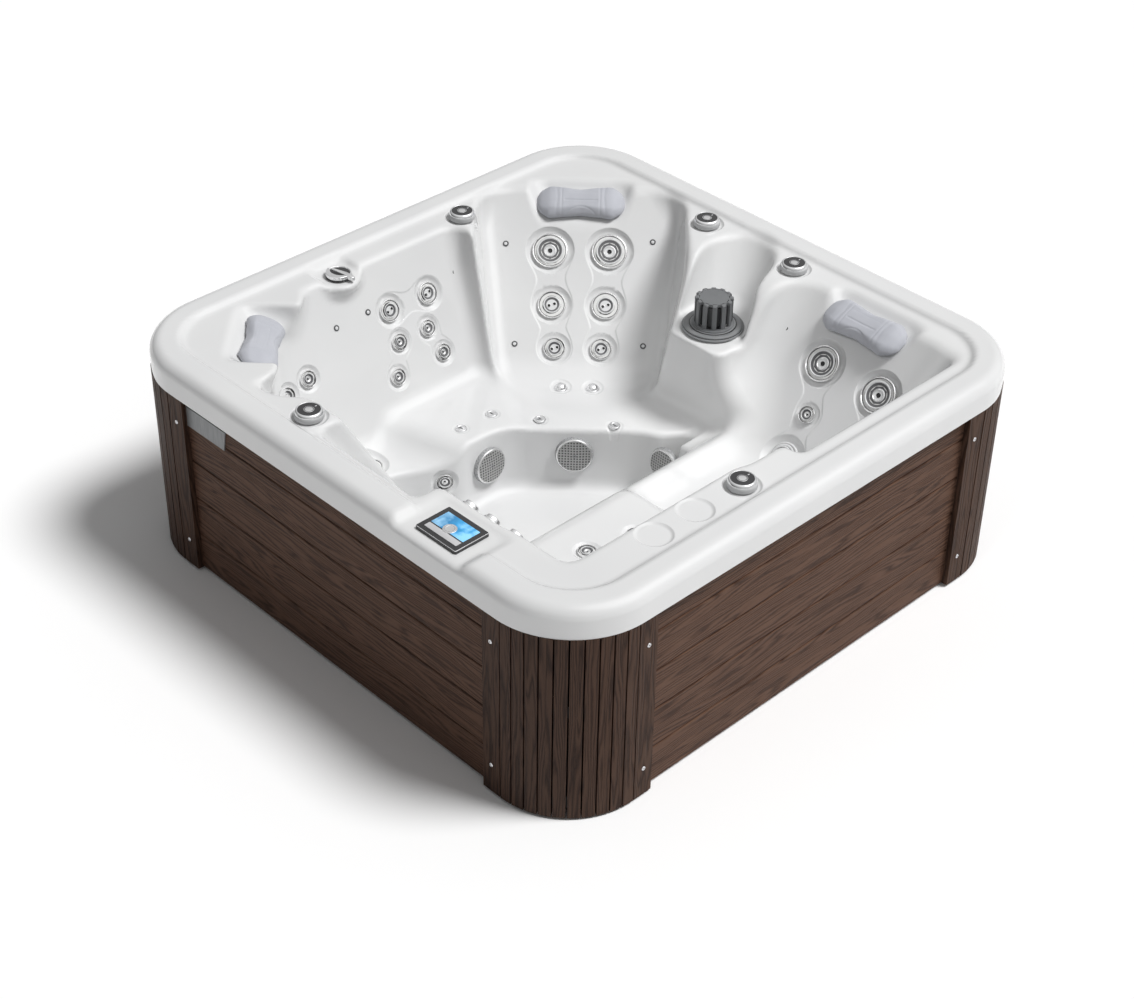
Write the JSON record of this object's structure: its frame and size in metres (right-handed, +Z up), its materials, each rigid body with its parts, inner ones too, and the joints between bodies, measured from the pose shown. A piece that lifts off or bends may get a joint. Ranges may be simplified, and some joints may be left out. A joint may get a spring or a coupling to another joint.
{
  "type": "hot tub",
  "caption": "Square outdoor hot tub with a moulded seat and lounger shell, turning jets, pillows, rim controls, filter basket and a board-clad cabinet.",
  "frame": {"origin": "on the floor under the centre of the cabinet", "axes": "+Z up; -Y is the side with the control panel; +X is the side that the lounger runs along"},
  "size_m": [2.15, 2.15, 0.806],
  "materials": {
    "acrylic": "gloss",
    "tray": "matt",
    "frame_steel": "satin",
    "boards": "embossed matt",
    "steel": "brushed",
    "pipe_plastic": "satin",
    "chrome_trim": "polished",
    "jet_trim": "gloss with polished ring",
    "cap_trim": "gloss with polished ring",
    "grey_mesh": "fine mesh",
    "dark_grey": "matt",
    "filter_fabric": "pleated",
    "pillow_foam": "soft matt",
    "panel_black": "gloss",
    "motor_paint": "satin"
  },
  "bodies": {
    "tub": {"shell": "acrylic", "base_pan": "tray", "cabinet_frame": "frame_steel", "front_boards": "boards", "right_boards": "boards", "back_boards": "boards", "left_boards": "boards", "corner_slats": "boards", "corner_posts": "boards", "post_screws": "steel", "jet_bodies": "pipe_plastic", "fixed_jets": "chrome_trim", "air_injectors": "chrome_trim", "suction_covers": "grey_mesh", "valve_bodies": "pipe_plastic", "filter_canister": "dark_grey", "filter_flange": "dark_grey", "filter_cartridge": "filter_fabric", "pillow_back": "pillow_foam", "pillow_right": "pillow_foam", "pillow_left": "pillow_foam", "control_panel": "panel_black", "jet_pump_motor": "motor_paint", "jet_pump_wet_end": "dark_grey", "heater": "steel", "control_box": "dark_grey", "pipework": "pipe_plastic", "cable_gland": "dark_grey"},
    "back_jet_1_face": {"back_jet_1": "jet_trim"},
    "back_jet_2_face": {"back_jet_2": "jet_trim"},
    "back_jet_3_face": {"back_jet_3": "jet_trim"},
    "back_jet_4_face": {"back_jet_4": "jet_trim"},
    "back_jet_5_face": {"back_jet_5": "jet_trim"},
    "back_jet_6_face": {"back_jet_6": "jet_trim"},
    "side_jet_1_face": {"side_jet_1": "jet_trim"},
    "side_jet_2_face": {"side_jet_2": "jet_trim"},
    "side_jet_3_face": {"side_jet_3": "jet_trim"},
    "side_jet_4_face": {"side_jet_4": "jet_trim"},
    "side_jet_5_face": {"side_jet_5": "jet_trim"},
    "side_jet_6_face": {"side_jet_6": "jet_trim"},
    "corner_jet_1_face": {"corner_jet_1": "jet_trim"},
    "corner_jet_2_face": {"corner_jet_2": "jet_trim"},
    "riser_jet_face": {"riser_jet": "jet_trim"},
    "lounge_jet_1_face": {"lounge_jet_1": "jet_trim"},
    "lounge_jet_2_face": {"lounge_jet_2": "jet_trim"},
    "lounge_jet_3_face": {"lounge_jet_3": "jet_trim"},
    "corner_jet_3_face": {"corner_jet_3": "jet_trim"},
    "foot_jet_1_face": {"foot_jet_1": "jet_trim"},
    "foot_jet_2_face": {"foot_jet_2": "jet_trim"},
    "air_cap_1_knob": {"air_cap_1": "cap_trim"},
    "air_cap_2_knob": {"air_cap_2": "cap_trim"},
    "air_cap_3_knob": {"air_cap_3": "cap_trim"},
    "air_cap_4_knob": {"air_cap_4": "cap_trim"},
    "air_cap_5_knob": {"air_cap_5": "cap_trim"},
    "lever": {"diverter_lever": "chrome_trim"},
    "basket": {"skimmer_basket": "dark_grey"},
    "rotor": {"pump_rotor": "dark_grey"}
  },
  "joints": [
    {"name": "back_jet_1_turn", "type": "hinge", "parent": "tub", "child": "back_jet_1_face", "pos_m": [-0.70566, 0.55287, 0.61594], "axis": [0.4912, -0.4912, 0.7193], "range_deg": [0, 120]},
    {"name": "back_jet_2_turn", "type": "hinge", "parent": "tub", "child": "back_jet_2_face", "pos_m": [-0.55287, 0.70566, 0.61594], "axis": [0.4912, -0.4912, 0.7193], "range_deg": [0, 120]},
    {"name": "back_jet_3_turn", "type": "hinge", "parent": "tub", "child": "back_jet_3_face", "pos_m": [-0.59468, 0.45709, 0.47476], "axis": [0.4912, -0.4912, 0.7193], "range_deg": [0, 120]},
    {"name": "back_jet_4_turn", "type": "hinge", "parent": "tub", "child": "back_jet_4_face", "pos_m": [-0.45709, 0.59468, 0.47476], "axis": [0.4912, -0.4912, 0.7193], "range_deg": [0, 120]},
    {"name": "back_jet_5_turn", "type": "hinge", "parent": "tub", "child": "back_jet_5_face", "pos_m": [-0.50293, 0.38435, 0.36244], "axis": [0.4912, -0.4912, 0.7193], "range_deg": [0, 120]},
    {"name": "back_jet_6_turn", "type": "hinge", "parent": "tub", "child": "back_jet_6_face", "pos_m": [-0.38435, 0.50293, 0.36244], "axis": [0.4912, -0.4912, 0.7193], "range_deg": [0, 120]},
    {"name": "side_jet_1_turn", "type": "hinge", "parent": "tub", "child": "side_jet_1_face", "pos_m": [-0.79197, -0.1333, 0.6058], "axis": [0.9063, 0, 0.4226], "range_deg": [0, 120]},
    {"name": "side_jet_2_turn", "type": "hinge", "parent": "tub", "child": "side_jet_2_face", "pos_m": [-0.79161, 0.04085, 0.60502], "axis": [0.9063, 0, 0.4226], "range_deg": [0, 120]},
    {"name": "side_jet_3_turn", "type": "hinge", "parent": "tub", "child": "side_jet_3_face", "pos_m": [-0.74251, -0.13599, 0.49972], "axis": [0.9063, 0, 0.4226], "range_deg": [0, 120]},
    {"name": "side_jet_4_turn", "type": "hinge", "parent": "tub", "child": "side_jet_4_face", "pos_m": [-0.74324, -0.00505, 0.50128], "axis": [0.9063, 0, 0.4226], "range_deg": [0, 120]},
    {"name": "side_jet_5_turn", "type": "hinge", "parent": "tub", "child": "side_jet_5_face", "pos_m": [-0.69959, 0.02795, 0.40768], "axis": [0.9063, 0, 0.4226], "range_deg": [0, 120]},
    {"name": "side_jet_6_turn", "type": "hinge", "parent": "tub", "child": "side_jet_6_face", "pos_m": [-0.69559, -0.18598, 0.3991], "axis": [0.9063, 0, 0.4226], "range_deg": [0, 120]},
    {"name": "corner_jet_1_turn", "type": "hinge", "parent": "tub", "child": "corner_jet_1_face", "pos_m": [-0.75124, -0.53503, 0.51844], "axis": [0.9063, 0, 0.4226], "range_deg": [0, 120]},
    {"name": "corner_jet_2_turn", "type": "hinge", "parent": "tub", "child": "corner_jet_2_face", "pos_m": [-0.74178, -0.63371, 0.49816], "axis": [0.9063, 0, 0.4226], "range_deg": [0, 120]},
    {"name": "riser_jet_turn", "type": "hinge", "parent": "tub", "child": "riser_jet_face", "pos_m": [-0.36254, -0.27042, 0.16276], "axis": [0.816, -0.5714, 0.0872], "range_deg": [0, 120]},
    {"name": "lounge_jet_1_turn", "type": "hinge", "parent": "tub", "child": "lounge_jet_1_face", "pos_m": [0.44903, 0.71991, 0.60268], "axis": [0, -0.766, 0.6428], "range_deg": [0, 120]},
    {"name": "lounge_jet_2_turn", "type": "hinge", "parent": "tub", "child": "lounge_jet_2_face", "pos_m": [0.6966, 0.71533, 0.59722], "axis": [0, -0.766, 0.6428], "range_deg": [0, 120]},
    {"name": "lounge_jet_3_turn", "type": "hinge", "parent": "tub", "child": "lounge_jet_3_face", "pos_m": [0.49504, 0.60669, 0.46774], "axis": [0, -0.766, 0.6428], "range_deg": [0, 120]},
    {"name": "corner_jet_3_turn", "type": "hinge", "parent": "tub", "child": "corner_jet_3_face", "pos_m": [-0.5547, -0.43752, 0.215], "axis": [0, 0, 1], "range_deg": [0, 120]},
    {"name": "foot_jet_1_turn", "type": "hinge", "parent": "tub", "child": "foot_jet_1_face", "pos_m": [0.4601, -0.39453, 0.395], "axis": [0, 0, 1], "range_deg": [0, 120]},
    {"name": "foot_jet_2_turn", "type": "hinge", "parent": "tub", "child": "foot_jet_2_face", "pos_m": [0.50203, -0.21823, 0.395], "axis": [0, 0, 1], "range_deg": [0, 120]},
    {"name": "air_cap_1_turn", "type": "hinge", "parent": "tub", "child": "air_cap_1_knob", "pos_m": [-0.8858, 0.2881, 0.78], "axis": [0, 0, 1], "range_deg": [0, 180]},
    {"name": "air_cap_2_turn", "type": "hinge", "parent": "tub", "child": "air_cap_2_knob", "pos_m": [-0.25907, 0.89548, 0.78], "axis": [0, 0, 1], "range_deg": [0, 180]},
    {"name": "air_cap_3_turn", "type": "hinge", "parent": "tub", "child": "air_cap_3_knob", "pos_m": [0.16018, 0.88687, 0.78], "axis": [0, 0, 1], "range_deg": [0, 180]},
    {"name": "air_cap_4_turn", "type": "hinge", "parent": "tub", "child": "air_cap_4_knob", "pos_m": [-0.2666, -0.89977, 0.78], "axis": [0, 0, 1], "range_deg": [0, 180]},
    {"name": "air_cap_5_turn", "type": "hinge", "parent": "tub", "child": "air_cap_5_knob", "pos_m": [0.8944, -0.18382, 0.78], "axis": [0, 0, 1], "range_deg": [0, 180]},
    {"name": "diverter_turn", "type": "hinge", "parent": "tub", "child": "lever", "pos_m": [-0.8815, -0.28165, 0.764], "axis": [0, 0, 1], "range_deg": [-90, 90]},
    {"name": "basket_lift", "type": "slide", "parent": "tub", "child": "basket", "axis": [0, 0, 1], "range_m": [0, 0.04]},
    {"name": "rotor_spin", "type": "hinge", "parent": "tub", "child": "rotor", "pos_m": [-0.26875, -0.84925, 0.125], "axis": [1, 0, 0], "continuous": true}
  ]
}
